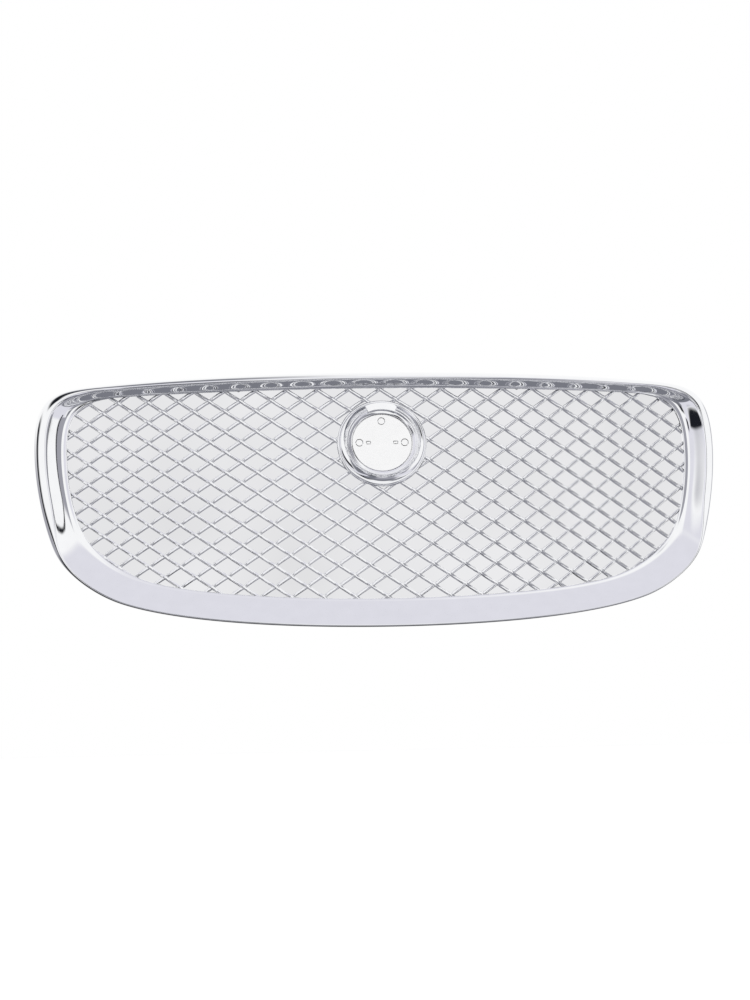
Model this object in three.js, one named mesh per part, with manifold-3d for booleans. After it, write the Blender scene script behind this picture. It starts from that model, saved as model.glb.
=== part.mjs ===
// Front grille of a large saloon car: a bright-plated surround with a deep dished mouth, a moulded
// diamond mesh behind its lip, a black carrier frame that clamps the mesh from the rear, and a round
// emblem seat bolted through the mesh. Millimetres, +Z up, the front faces -Y.
// The origin is the centre of the emblem seat's flat floor.
import * as THREE from 'three';
import { mergeGeometries, mergeVertices } from 'three/addons/utils/BufferGeometryUtils.js';
import Module from 'manifold-3d';

const wasm = await Module();
wasm.setup();

// Attitude of the whole front: it leans back and its ends sweep back in plan.
const LEAN = THREE.MathUtils.degToRad(18);
const SWEEP = 75;           // how far the ends lie behind the middle
const HALF_WIDTH = 428;     // half the overall width, where the sweep is measured
const MESH_SET_BACK = 7;    // the mesh's own surface, behind the emblem seat's floor

// Outer outline and lip outline in front view: right-hand half from top centre to bottom centre,
// each a chain of five cubic curves given as [x, z] points. The left half is the mirror image.
const OUTER = [
  [0, 88], [130, 88], [260, 83.5],
  [350, 76], [406, 70], [428, 63],
  [428, -2], [428, -45], [415, -100],
  [403, -127], [390, -156], [353, -180.5],
  [320, -192.5], [250, -214], [120, -222.5],
  [0, -222.5],
];
const LIP = [
  [0, 67], [115, 67], [225, 65],
  [312, 61], [364, 57.5], [385, 50],
  [385, -5], [385, -40], [378.5, -76],
  [367, -102], [357, -128], [325, -152.5],
  [285, -165], [235, -180.5], [110, -187.5],
  [0, -187.5],
];
const CURVE_STEPS = [6, 6, 3, 5, 6];

// Surround section: depths are forward of the mesh's surface.
const SKIRT_BACK = -12;
const SKIRT_FRONT = 8;
const CREST = 30;
const LIP_FRONT = 6;
const FOOT_FRONT = 8.2;     // where the dished slope meets the lip, that far inside its edge
const FOOT_INSET = 3.5;
const SURROUND_WALL = 2.6;

// Diamond mesh: pitch of the lattice, bar width, plate faces and the rim clamped behind the lip.
const PITCH_X = 38.4;
const PITCH_Z = 25.2;
const HALF_COLUMNS = 21;    // half pitches from the middle to beyond either end
const LAST_ROW = 21;        // half pitches from the top row to below the lip
const TOP_NODE_Z = 66.5;
const BAR = 4;
const MESH_FRONT = 1.8;
const MESH_BACK = -1.4;
const RIM_OVERLAP = 14;
const LIP_MARGIN = 0.5;

// Carrier frame behind the mesh.
const CARRIER_FRONT = -1.8;
const CARRIER_BACK = -5;
const CARRIER_RIB_BACK = -15;
const CARRIER_EDGE = 4.5;
const CARRIER_RIB = 3.2;

// Screws that join carrier, mesh and surround.
const SCREW_INSET = 9;      // outside the lip
const BOSS_RADIUS = 3.6;
const BOSS_FRONT = 9.5;
const SHANK_RADIUS = 1.6;
const PILOT_RADIUS = 2;
const CLEARANCE_RADIUS = 2.3;
const PAD_RADIUS = 6;
const PAD_FRONT = -4.7;
const PAD_BACK = -10;
const HEAD_RADIUS = 3.8;
const HEAD_HEIGHT = 2.6;
const SCREW_SHORT = 2.2;    // from a frame screw's point to the boss's front
const SCREW_POINT = 2;
const SCREW_SIDES = 8;
const TOUCH = 0.3;          // gap between parts that bear on each other
const THROUGH = 5;          // how far a hole's cutter passes each face
const REACH = 300;          // half the depth of a cutter that passes through everything

// Fixing tabs on the carrier and the spring clips on them.
const TAB = { width: 36, length: 46, thickness: 3, rib: 7, hole: 3.5, holeFromEnd: 12 };
const TAB_ROOT = 1;         // behind the carrier's front face
const UPPER_TAB_X = [-290, -110, 110, 290];
const LOWER_TAB_X = [-230, -80, 80, 230];
const TAB_INSET = 6.6;      // into the carrier's rib
const CLIP = { width: 18, length: 22, sheet: 1.2, flare: 1.5, collar: 4.6, collarHeight: 3.4, bore: 2.4 };

// Emblem seat, measured along its own axis from the seat floor.
const SEAT_RADIUS = 36.5;
const BASE_RADIUS = 50;
const BASE_STEP = -1.6;
const BASE_BACK = -3.8;
const BEZEL_RADIUS = 55.4;
const RIM_RADIUS = 44.2;
const RIM_HEIGHT = 7.5;
const KEY = { inner: 40.5, outer: 49, bottom: 1, top: 8, start: THREE.MathUtils.degToRad(66), sides: 6 };
const ROUND_SIDES = 32;
const SEAT_HOLE = { radius: 4.2, offset: 27.8 };
const SEAT_SLOT = { x: 16.7, width: 6, height: 3.4 };
const POST = { radius: 4.4, offset: 27.8, back: -9.6 };
const MESH_PAD_RADIUS = 51;
const POST_CLEARANCE = 0.6;
const EMBLEM_SCREW_LENGTH = 8.5;
const CLAMP = { radius: 44, window: 12, front: -10, back: -13 };

const CHROME = new THREE.MeshStandardMaterial({ color: 0xe4e6ea, roughness: 0.06, metalness: 1 });
const SATIN = new THREE.MeshStandardMaterial({ color: 0xf1f1f2, roughness: 0.3, metalness: 0.2 });
const BLACK = new THREE.MeshStandardMaterial({ color: 0x17181a, roughness: 0.6, metalness: 0 });
const ZINC = new THREE.MeshStandardMaterial({ color: 0xb9bcc0, roughness: 0.35, metalness: 1 });

const grille = new THREE.Group();

function addPart(parent, name, geometry, material) {
  const mesh = new THREE.Mesh(geometry, material);
  mesh.name = name;
  parent.add(mesh);
  return mesh;
}

// Geometry to solid and back.
function toSolid(geometry) {
  const bare = geometry.clone();
  bare.deleteAttribute('normal');
  bare.deleteAttribute('uv');
  const merged = mergeVertices(bare, 1e-4);
  return new wasm.Manifold(new wasm.Mesh({
    numProp: 3,
    vertProperties: new Float32Array(merged.attributes.position.array),
    triVerts: new Uint32Array(merged.index.array),
  }));
}

function toGeometry(solid) {
  const mesh = solid.getMesh();
  const geometry = new THREE.BufferGeometry();
  geometry.setAttribute('position', new THREE.BufferAttribute(mesh.vertProperties, 3));
  geometry.setIndex(new THREE.BufferAttribute(mesh.triVerts, 1));
  return geometry;
}

function joined(geometries) {
  return toSolid(mergeGeometries(geometries.map((g) => g.index ? g.toNonIndexed() : g)));
}

function cutAll(solid, cutters) {
  return cutters.reduce((rest, cutter) => rest.subtract(toSolid(cutter)), solid);
}

function addAll(solid, extras) {
  return extras.reduce((whole, extra) => whole.add(toSolid(extra)), solid);
}

// The surface that the mesh lies on: y for a place in front view.
function surfaceY(x, z) {
  return MESH_SET_BACK + SWEEP * (x / HALF_WIDTH) ** 2 + z * Math.tan(LEAN);
}

// Moves a flat-built geometry, whose y is minus its forward offset, onto the surface.
function warp(geometry) {
  const place = geometry.attributes.position;
  for (let i = 0; i < place.count; i += 1) {
    place.setY(i, place.getY(i) + surfaceY(place.getX(i), place.getZ(i)));
  }
  return geometry;
}

// Round bar along Y between two forward offsets, standing on the surface at (x, z).
function rod(x, z, radius, back, front, sides = SCREW_SIDES) {
  const geometry = new THREE.CylinderGeometry(radius, radius, front - back, sides);
  return geometry.translate(x, surfaceY(x, z) - (front + back) / 2, z);
}

// The same bar with both ends cut parallel to the surface.
function slantedRod(x, z, radius, back, front) {
  const geometry = new THREE.CylinderGeometry(radius, radius, front - back, SCREW_SIDES);
  return warp(geometry.translate(x, -(front + back) / 2, z));
}

// Outline points of one half, then of the whole loop.
function halfOutline(points) {
  const at = points.map(([x, z]) => new THREE.Vector2(x, z));
  const line = CURVE_STEPS.flatMap((steps, i) => {
    const curve = new THREE.CubicBezierCurve(...at.slice(3 * i, 3 * i + 4));
    return Array.from({ length: steps }, (_, k) => curve.getPoint(k / steps));
  });
  return [...line, at[at.length - 1]];
}

function mirrored(line) {
  const left = line.slice(1, -1).reverse().map((p) => new THREE.Vector2(-p.x, p.y));
  return [...line, ...left];
}

const outerLine = mirrored(halfOutline(OUTER));
const lipLine = mirrored(halfOutline(LIP));

// A station is one place round the frame: its outer point, the way in to the lip and the width.
const stations = outerLine.map((outer, i) => {
  const across = lipLine[i].clone().sub(outer);
  return { outer, inward: across.clone().normalize(), width: across.length() };
});

function place(station, inset) {
  return station.outer.clone().addScaledVector(station.inward, inset);
}

// Closed ring through a section at every station: section(station) gives [inset, forward] points,
// clockwise.
function loft(section) {
  const rings = stations.map((station) => section(station).map(([inset, forward]) => {
    const at = place(station, inset);
    return [at.x, surfaceY(at.x, at.y) - forward, at.y];
  }));
  const n = rings[0].length;
  const index = [];
  rings.forEach((_, i) => {
    const next = (i + 1) % rings.length;
    for (let j = 0; j < n; j += 1) {
      const k = (j + 1) % n;
      index.push(i * n + j, next * n + k, next * n + j, i * n + j, i * n + k, next * n + k);
    }
  });
  const geometry = new THREE.BufferGeometry();
  geometry.setAttribute('position', new THREE.Float32BufferAttribute(rings.flat(2), 3));
  geometry.setIndex(index);
  return geometry;
}

// Front face of the surround at a station: flared skirt, round shoulder, crest, dished slope, lip.
// The crest lies a third of the way in, close to the edge below, and sinks a little at the ends.
function surroundFace({ outer, width }) {
  const alongBottom = THREE.MathUtils.smoothstep(-outer.y, 70, 165);
  const alongTop = THREE.MathUtils.smoothstep(outer.y, 50, 76);
  const atEnds = THREE.MathUtils.smoothstep(Math.abs(outer.x), 330, 415) * (1 - alongBottom);
  const height = CREST * (1 - 0.2 * atEnds);
  const crest = width * THREE.MathUtils.lerp(0.36, 0.12, alongBottom);
  const foot = width - FOOT_INSET;
  const shoulder = crest + (foot - crest) * (0.14 + 0.2 * alongTop);
  return [
    [0, SKIRT_BACK],
    [0.12 * crest, SKIRT_FRONT],
    [0.45 * crest, 0.8 * height],
    [crest, height],
    [shoulder, 0.9 * height],
    [0.5 * (shoulder + foot), 0.54 * height],
    [foot, FOOT_FRONT],
    [width, LIP_FRONT],
  ];
}

// Polyline shifted sideways by a wall thickness, to the side that faces the inside of the shell.
function offsetLine(line, distance) {
  const points = line.map(([a, b]) => new THREE.Vector2(a, b));
  return points.map((p, i) => {
    const before = p.clone().sub(points[Math.max(i - 1, 0)]).normalize();
    const after = points[Math.min(i + 1, points.length - 1)].clone().sub(p).normalize();
    const along = before.add(after).normalize();
    const run = i > 0 ? p.clone().sub(points[i - 1]).normalize() : after;
    const stretch = 1 / Math.max(run.dot(along), 0.5);
    return [p.x + along.y * distance * stretch, p.y - along.x * distance * stretch];
  });
}

function surroundSection(station) {
  const face = surroundFace(station);
  return [...face, ...offsetLine(face, SURROUND_WALL).reverse()];
}

// Places of the frame screws: stations picked round the loop, on a line outside the lip.
const SCREW_STATIONS = [3, 8, 14, 21, 24];
const screwPlaces = SCREW_STATIONS.flatMap((i) => [i, stations.length - i])
  .map((i) => place(stations[i], stations[i].width - SCREW_INSET));

function buildSurround() {
  const bosses = screwPlaces.map((p) => slantedRod(p.x, p.y, BOSS_RADIUS, MESH_FRONT + TOUCH, BOSS_FRONT));
  const pilots = screwPlaces.map((p) => rod(p.x, p.y, PILOT_RADIUS, MESH_BACK - THROUGH, BOSS_FRONT - 1));
  const shell = addAll(toSolid(loft(surroundSection)), bosses);
  addPart(grille, 'surround', toGeometry(cutAll(shell, pilots)), CHROME);
}

// Bar along Y, long enough to pass through everything, with the given outline in front view.
function prism(line) {
  const shape = new THREE.Shape(line.map((p) => new THREE.Vector2(p.x, p.y)));
  const geometry = new THREE.ExtrudeGeometry(shape, { depth: 2 * REACH, bevelEnabled: false });
  return geometry.rotateX(Math.PI / 2).translate(0, REACH, 0);
}

// The swept, leaning sheet between two forward offsets, in flat facets one lattice pitch wide.
function sheet(back, front) {
  const facets = HALF_COLUMNS + 3;
  const columns = Array.from({ length: facets + 1 }, (_, i) => sweptX((i - facets / 2) * PITCH_X));
  const edge = (forward) => columns.map((x) => new THREE.Vector2(x, surfaceY(x, 0) - forward));
  const shape = new THREE.Shape([...edge(front), ...edge(back).reverse()]);
  const geometry = new THREE.ExtrudeGeometry(shape, { depth: 2 * REACH, bevelEnabled: false });
  geometry.translate(0, 0, -REACH);
  return geometry.applyMatrix4(new THREE.Matrix4().makeShear(0, 0, 0, 0, 0, Math.tan(LEAN)));
}

// Distance along the swept surface to the x it reaches: the lattice pitch is even along the sweep.
function sweptX(distance) {
  const bend = SWEEP / HALF_WIDTH ** 2;
  return distance - (2 / 3) * bend ** 2 * distance ** 3;
}

function diamond(column, row) {
  const angle = Math.atan2(PITCH_Z, PITCH_X);
  const halfX = PITCH_X / 2 - BAR / (2 * Math.sin(angle));
  const halfZ = PITCH_Z / 2 - BAR / (2 * Math.cos(angle));
  const x = (column * PITCH_X) / 2;
  const z = TOP_NODE_Z - (row * PITCH_Z) / 2;
  const corners = [[x + halfX, z], [x, z + halfZ], [x - halfX, z], [x, z - halfZ]];
  return corners.map(([cx, cz]) => new THREE.Vector2(sweptX(cx), cz));
}

// Every cell of the lattice, trimmed to the field inside the lip, less the solid emblem pad.
function meshCells() {
  const cells = [];
  for (let row = -1; row <= LAST_ROW; row += 1) {
    for (let column = -HALF_COLUMNS; column <= HALF_COLUMNS; column += 1) {
      const x = (column * PITCH_X) / 2;
      const z = TOP_NODE_Z - (row * PITCH_Z) / 2;
      const onPad = Math.hypot(x, z / Math.cos(LEAN)) < MESH_PAD_RADIUS;
      if ((row + column) % 2 !== 0 && !onPad) {
        cells.push(prism(diamond(column, row)));
      }
    }
  }
  const field = stations.map((s) => place(s, s.width + LIP_MARGIN));
  const trimmed = joined(cells).intersect(toSolid(prism(field)));
  return trimmed.subtract(toSolid(prism(ellipse(MESH_PAD_RADIUS))));
}

// Circle in the plane of the leaning seat, seen from the front.
function ellipse(radius) {
  return Array.from({ length: ROUND_SIDES }, (_, i) => {
    const turn = (2 * Math.PI * i) / ROUND_SIDES;
    return new THREE.Vector2(radius * Math.cos(turn), radius * Math.cos(LEAN) * Math.sin(turn));
  });
}

function buildMesh() {
  const rim = stations.map((s) => place(s, s.width - RIM_OVERLAP));
  const whole = toSolid(sheet(MESH_BACK, MESH_FRONT)).intersect(toSolid(prism(rim)));
  const holes = screwPlaces.map((p) => (
    rod(p.x, p.y, CLEARANCE_RADIUS, MESH_BACK - THROUGH, MESH_FRONT + THROUGH)
  ));
  const posts = postPlaces().map((p) => (
    axial(p.x, p.z, POST.radius + POST_CLEARANCE, CLAMP.back, RIM_HEIGHT, 16).applyMatrix4(emblem.matrix)
  ));
  const solid = cutAll(whole.subtract(meshCells()), [...holes, ...posts]);
  addPart(grille, 'mesh_insert', toGeometry(solid), CHROME);
}

function carrierSection({ width }) {
  return [
    [CARRIER_EDGE, CARRIER_FRONT],
    [width - 2, CARRIER_FRONT],
    [width - 2, CARRIER_BACK],
    [CARRIER_EDGE + CARRIER_RIB, CARRIER_BACK],
    [CARRIER_EDGE + CARRIER_RIB, CARRIER_RIB_BACK],
    [CARRIER_EDGE, CARRIER_RIB_BACK],
  ];
}

// Height of the outer outline at a given x, on the top or the bottom edge.
function edgeHeight(x, top) {
  const run = outerLine.filter((p) => (top ? p.y > 20 : p.y < -150) && p.x >= 0);
  run.sort((a, b) => a.x - b.x);
  const i = run.findIndex((p) => p.x > x);
  const share = (x - run[i - 1].x) / (run[i].x - run[i - 1].x);
  return THREE.MathUtils.lerp(run[i - 1].y, run[i].y, share);
}

// Level fixing tabs: where each one's root, end and face lie.
function tabs() {
  const end = (x) => Math.abs(x) + TAB.width / 2;
  const upper = UPPER_TAB_X.map((x) => ({ x, z: edgeHeight(end(x), true) - TAB_INSET, up: 1 }));
  const lower = LOWER_TAB_X.map((x) => ({ x, z: edgeHeight(end(x), false) + TAB_INSET, up: -1 }));
  return [...upper, ...lower].map((tab) => {
    const root = surfaceY(end(tab.x), tab.z) - CARRIER_FRONT + TAB_ROOT;
    return { ...tab, root, end: root + TAB.length };
  });
}

function tabPieces({ x, z, root, up }) {
  const leaf = new THREE.BoxGeometry(TAB.width, TAB.length, TAB.thickness);
  const rib = new THREE.BoxGeometry(TAB.thickness, TAB.length / 2, TAB.rib);
  const ribX = x - Math.sign(x) * (TAB.width - TAB.thickness) / 2;
  return [
    leaf.translate(x, root + TAB.length / 2, z),
    rib.translate(ribX, root + TAB.length / 4, z - up * (TAB.thickness + TAB.rib - 1) / 2),
  ];
}

function tabHole({ x, z, end }) {
  const hole = new THREE.CylinderGeometry(TAB.hole, TAB.hole, TAB.thickness + 2 * THROUGH, 12);
  return hole.rotateX(Math.PI / 2).translate(x, end - TAB.holeFromEnd, z);
}

function buildCarrier() {
  const pads = screwPlaces.map((p) => rod(p.x, p.y, PAD_RADIUS, PAD_BACK, PAD_FRONT));
  const holes = screwPlaces.map((p) => (
    rod(p.x, p.y, CLEARANCE_RADIUS, PAD_BACK - THROUGH, CARRIER_FRONT + THROUGH)
  ));
  const ring = addAll(toSolid(loft(carrierSection)), [...pads, ...tabs().flatMap(tabPieces)]);
  addPart(grille, 'rear_carrier', toGeometry(cutAll(ring, [...holes, ...tabs().map(tabHole)])), BLACK);
}

// Pan-head screw along its own +Y, head underside at y = 0 and head towards -Y.
function screw(length) {
  const profile = [
    [0, -HEAD_HEIGHT], [0.7 * HEAD_RADIUS, -HEAD_HEIGHT], [HEAD_RADIUS, -0.5 * HEAD_HEIGHT],
    [HEAD_RADIUS, 0], [SHANK_RADIUS, 0], [SHANK_RADIUS, length - SCREW_POINT], [0, length],
  ];
  return new THREE.LatheGeometry(profile.map(([r, y]) => new THREE.Vector2(r, y)), SCREW_SIDES);
}

function buildFrameScrews() {
  const length = BOSS_FRONT - SCREW_SHORT - PAD_BACK;
  screwPlaces.forEach((p, i) => {
    const part = addPart(grille, `frame_screw_${String(i + 1).padStart(2, '0')}`, screw(length), ZINC);
    part.position.set(p.x, surfaceY(p.x, p.y) - PAD_BACK + TOUCH, p.y);
    part.rotation.x = Math.PI;
  });
}

// Spring clip pushed over the end of a tab: a folded strip with a hole and a threaded collar.
function clip(x, z, end, up) {
  const gap = TAB.thickness / 2 + TOUCH;
  const outer = gap + CLIP.sheet;
  const flare = -CLIP.length - CLIP.flare;
  const outline = [
    [-CLIP.length, gap], [TOUCH, gap], [TOUCH, -gap], [-CLIP.length, -gap],
    [flare, -gap - CLIP.flare], [flare, -outer - CLIP.flare - 0.2], [-CLIP.length, -outer],
    [TOUCH + CLIP.sheet, -outer], [TOUCH + CLIP.sheet, outer], [-CLIP.length, outer],
  ].map(([a, b]) => new THREE.Vector2(a, b));
  const shape = new THREE.Shape(outline);
  const strip = new THREE.ExtrudeGeometry(shape, { depth: CLIP.width, bevelEnabled: false });
  strip.translate(0, 0, -CLIP.width / 2).rotateX(Math.PI / 2).rotateZ(Math.PI / 2);
  const upright = (radius, height) => (
    new THREE.CylinderGeometry(radius, radius, height, SCREW_SIDES).rotateX(Math.PI / 2)
  );
  const collarMiddle = -up * (outer + CLIP.sheet);
  const collar = upright(CLIP.collar, CLIP.collarHeight).translate(0, -TAB.holeFromEnd, collarMiddle);
  const bore = upright(CLIP.bore, 4 * outer + 2 * THROUGH).translate(0, -TAB.holeFromEnd, 0);
  const geometry = toGeometry(toSolid(strip).add(toSolid(collar)).subtract(toSolid(bore)));
  return geometry.translate(x, end, z);
}

function buildClips() {
  const counts = { upper: 0, lower: 0 };
  tabs().forEach(({ x, z, end, up }) => {
    const row = up > 0 ? 'upper' : 'lower';
    counts[row] += 1;
    addPart(grille, `${row}_clip_${counts[row]}`, clip(x, z, end, up), ZINC);
  });
}

// The emblem seat is built in a frame of its own: y along the seat's axis, out of the front.
const emblem = new THREE.Group();
emblem.rotation.x = Math.PI - LEAN;
emblem.updateMatrix();
grille.add(emblem);

function polar(offset, degrees) {
  const turn = THREE.MathUtils.degToRad(degrees);
  return { x: offset * Math.cos(turn), z: -offset * Math.sin(turn) };
}

function postPlaces() {
  return [30, 150, 270].map((degrees) => polar(POST.offset, degrees));
}

function axial(x, z, radius, back, front, sides = 14) {
  const geometry = new THREE.CylinderGeometry(radius, radius, front - back, sides);
  return geometry.translate(x, (front + back) / 2, z);
}

function lathe(profile, sides = ROUND_SIDES) {
  return new THREE.LatheGeometry(profile.map(([r, y]) => new THREE.Vector2(r, y)), sides);
}

function buildEmblemBase() {
  const dish = lathe([
    [0, BASE_BACK], [BASE_RADIUS, BASE_BACK], [BASE_RADIUS, BASE_STEP],
    [SEAT_RADIUS, BASE_STEP], [SEAT_RADIUS, 0], [0, 0],
  ]);
  const posts = postPlaces().map((p) => axial(p.x, p.z, POST.radius, POST.back, BASE_BACK + 1));
  const holes = [0, 90, 180].map((degrees) => {
    const p = polar(SEAT_HOLE.offset, degrees);
    return axial(p.x, p.z, SEAT_HOLE.radius, BASE_BACK - THROUGH, THROUGH, 16);
  });
  const slots = [-1, 1].map((side) => {
    const slot = new THREE.BoxGeometry(SEAT_SLOT.width, 4 * THROUGH, SEAT_SLOT.height);
    return slot.translate(side * SEAT_SLOT.x, 0, 0);
  });
  const pilots = postPlaces().map((p) => (
    axial(p.x, p.z, PILOT_RADIUS, POST.back - THROUGH, BASE_BACK + 2, 10)
  ));
  const solid = cutAll(addAll(toSolid(dish), posts), [...holes, ...slots, ...pilots]);
  addPart(emblem, 'emblem_base', toGeometry(solid), SATIN);
}

// Bevelled ring round the seat, with a locating key across the top of its inner wall.
function buildBezel() {
  const inner = SEAT_RADIUS + 0.5;
  const skirt = BASE_RADIUS + 0.8;
  const foot = BASE_BACK - 0.2;
  const ring = lathe([
    [inner, BASE_STEP + TOUCH], [skirt, BASE_STEP + TOUCH], [skirt, foot], [BEZEL_RADIUS, foot],
    [BEZEL_RADIUS, foot + 0.8], [BEZEL_RADIUS - 2.2, -0.6], [RIM_RADIUS + 1.6, RIM_HEIGHT - 0.5],
    [RIM_RADIUS, RIM_HEIGHT], [RIM_RADIUS - 1.1, RIM_HEIGHT - 0.7], [inner + 0.9, 1.6], [inner, 0.4],
    [inner, BASE_STEP + TOUCH],
  ]);
  const key = new THREE.Shape();
  key.absarc(0, 0, KEY.outer, KEY.start, Math.PI - KEY.start, false);
  key.absarc(0, 0, KEY.inner, Math.PI - KEY.start, KEY.start, true);
  const block = new THREE.ExtrudeGeometry(key, {
    depth: KEY.top - KEY.bottom, curveSegments: KEY.sides, bevelEnabled: false,
  });
  block.translate(0, 0, KEY.bottom).rotateX(-Math.PI / 2);
  addPart(emblem, 'emblem_bezel', toGeometry(toSolid(ring).add(toSolid(block))), CHROME);
}

function buildClamp() {
  const disc = lathe([
    [CLAMP.window, CLAMP.back], [CLAMP.radius, CLAMP.back], [CLAMP.radius, CLAMP.front],
    [CLAMP.window, CLAMP.front], [CLAMP.window, CLAMP.back],
  ], 28);
  const holes = postPlaces().map((p) => axial(p.x, p.z, CLEARANCE_RADIUS, CLAMP.back - THROUGH, 0, 10));
  addPart(emblem, 'emblem_clamp_plate', toGeometry(cutAll(toSolid(disc), holes)), BLACK);
  postPlaces().forEach((p, i) => {
    const part = addPart(emblem, `emblem_screw_${i + 1}`, screw(EMBLEM_SCREW_LENGTH), ZINC);
    part.position.set(p.x, CLAMP.back - TOUCH, p.z);
  });
}

buildSurround();
buildMesh();
buildCarrier();
buildFrameScrews();
buildClips();
buildBezel();
buildEmblemBase();
buildClamp();

export default grille;
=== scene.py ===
"""Front grille: the plated surround, woven diamond mesh, emblem seat, carrier, screws and clips that
are seen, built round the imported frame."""

import math

import bmesh
import bpy
from mathutils import Matrix, Vector


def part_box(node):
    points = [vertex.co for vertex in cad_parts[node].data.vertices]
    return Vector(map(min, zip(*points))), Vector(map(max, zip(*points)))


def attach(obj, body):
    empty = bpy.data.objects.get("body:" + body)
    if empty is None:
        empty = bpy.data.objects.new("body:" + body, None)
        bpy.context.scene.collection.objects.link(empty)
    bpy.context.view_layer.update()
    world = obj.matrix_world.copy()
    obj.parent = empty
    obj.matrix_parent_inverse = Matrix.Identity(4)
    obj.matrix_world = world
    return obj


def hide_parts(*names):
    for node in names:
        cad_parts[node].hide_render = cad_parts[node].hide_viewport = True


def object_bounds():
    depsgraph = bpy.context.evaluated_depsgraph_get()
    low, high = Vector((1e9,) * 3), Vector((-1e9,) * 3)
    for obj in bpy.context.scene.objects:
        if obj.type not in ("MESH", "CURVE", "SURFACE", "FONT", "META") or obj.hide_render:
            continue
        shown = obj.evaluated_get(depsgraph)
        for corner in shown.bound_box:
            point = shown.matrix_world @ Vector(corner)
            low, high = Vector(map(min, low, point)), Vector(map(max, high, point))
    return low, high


bl_info = {
    "name": "Front grille",
    "version": (1, 0, 0),
    "blender": (4, 5, 0),
    "location": "3D View > Sidebar > Grille",
    "description": "Builds the visible pieces of a plated front grille round its packed frame",
    "category": "Add Mesh",
}

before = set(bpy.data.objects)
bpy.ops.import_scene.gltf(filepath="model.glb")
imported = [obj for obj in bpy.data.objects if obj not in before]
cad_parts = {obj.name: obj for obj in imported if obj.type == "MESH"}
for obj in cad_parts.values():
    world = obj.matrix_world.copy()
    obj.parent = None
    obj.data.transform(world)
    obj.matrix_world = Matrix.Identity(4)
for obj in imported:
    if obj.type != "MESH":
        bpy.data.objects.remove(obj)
CAD_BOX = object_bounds()
MM = 0.001

# Attitude of the front, as in the frame: it leans back and its ends sweep back in plan.
LEAN = math.radians(18)
HALF_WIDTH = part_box("surround")[1].x
SWEEP = 75 * MM             # how far the ends lie behind the middle
MESH_SET_BACK = 7 * MM      # the mesh's own surface, behind the emblem seat's floor

# Outer and lip outlines in front view, in millimetres: right half from top centre to bottom centre,
# each a chain of five cubic curves. The left half is the mirror image.
OUTER = [
    (0, 88), (130, 88), (260, 83.5), (350, 76), (406, 71.3), (428, 63), (428, -2), (428, -45),
    (415, -100), (403, -127), (390, -156), (353, -181.5), (320, -192.5), (252, -215), (120, -222.5),
    (0, -222.5),
]
LIP = [
    (0, 67), (115, 67), (225, 65), (312, 61), (364, 58.2), (385, 50), (385, -5), (385, -40),
    (378.5, -76), (367, -102), (356, -127), (325, -152.5), (285, -165), (235, -180.5), (110, -187.5),
    (0, -187.5),
]
CURVE_STEPS = (48, 48, 24, 40, 48)
EASE_PASSES = 5             # rounds that ease the joins between the curves

# Lattice of the mesh: pitch across and up, and the height of its top row of crossings.
PITCH_X = 38.4 * MM
PITCH_Z = 25.2 * MM
TOP_NODE_Z = 66.5 * MM
MESH_BACK = -1.4 * MM
LATTICE_LINES = range(-42, 43, 2)
LATTICE_REACH = 30          # crossings followed each way along a line
STRAND_STEPS = 14           # rings between two crossings
CROWN_SQUARENESS = (0.8, 0.55)      # powers that flatten a strand's crown, across and up
WEAVE_SHARPNESS = 6         # how closely a strand's rise or dip keeps to the crossing
RIM_OVERLAP = 14 * MM       # how far the mesh's rim reaches outside the lip
PAD_RADIUS = 51 * MM        # solid disc of the mesh behind the emblem seat

# Emblem seat, measured along its own axis from the seat floor.
SEAT_HOLES = (0, 90, 180)
SEAT_HOLE_OFFSET = 27.8 * MM
SLOT_OFFSET = 16.7 * MM
POSTS = (30, 150, 270)
CLAMP_BACK = -13 * MM
TOUCH = 0.3 * MM

# The emblem seat's frame: x across, y up along the leaning front, z out of it.
EMBLEM = Matrix((
    (1, 0, 0, 0),
    (0, math.sin(LEAN), -math.cos(LEAN), 0),
    (0, math.cos(LEAN), math.sin(LEAN), 0),
    (0, 0, 0, 1),
))


class GrilleSizes(bpy.types.PropertyGroup):
    """Sizes that shape the visible pieces."""
    wall: bpy.props.FloatProperty(
        name="Surround wall", description="Thickness of the surround's moulding",
        default=2.6 * MM, min=1 * MM, unit="LENGTH")
    crest: bpy.props.FloatProperty(
        name="Crest height", description="Height of the surround's crest before the mesh",
        default=30 * MM, min=20 * MM, unit="LENGTH")
    bar: bpy.props.FloatProperty(
        name="Strand width", description="Width of one strand of the mesh",
        default=3.9 * MM, min=1 * MM, unit="LENGTH")
    crown: bpy.props.FloatProperty(
        name="Strand crown", description="Height of a strand's rounded top over its back",
        default=3.2 * MM, min=1 * MM, unit="LENGTH")
    weave: bpy.props.FloatProperty(
        name="Weave", description="How far strands rise or dip where they cross",
        default=1.1 * MM, min=0, unit="LENGTH")
    thread_pitch: bpy.props.FloatProperty(
        name="Thread pitch", description="Pitch of the screws' threads",
        default=1.4 * MM, min=0.5 * MM, unit="LENGTH")


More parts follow.
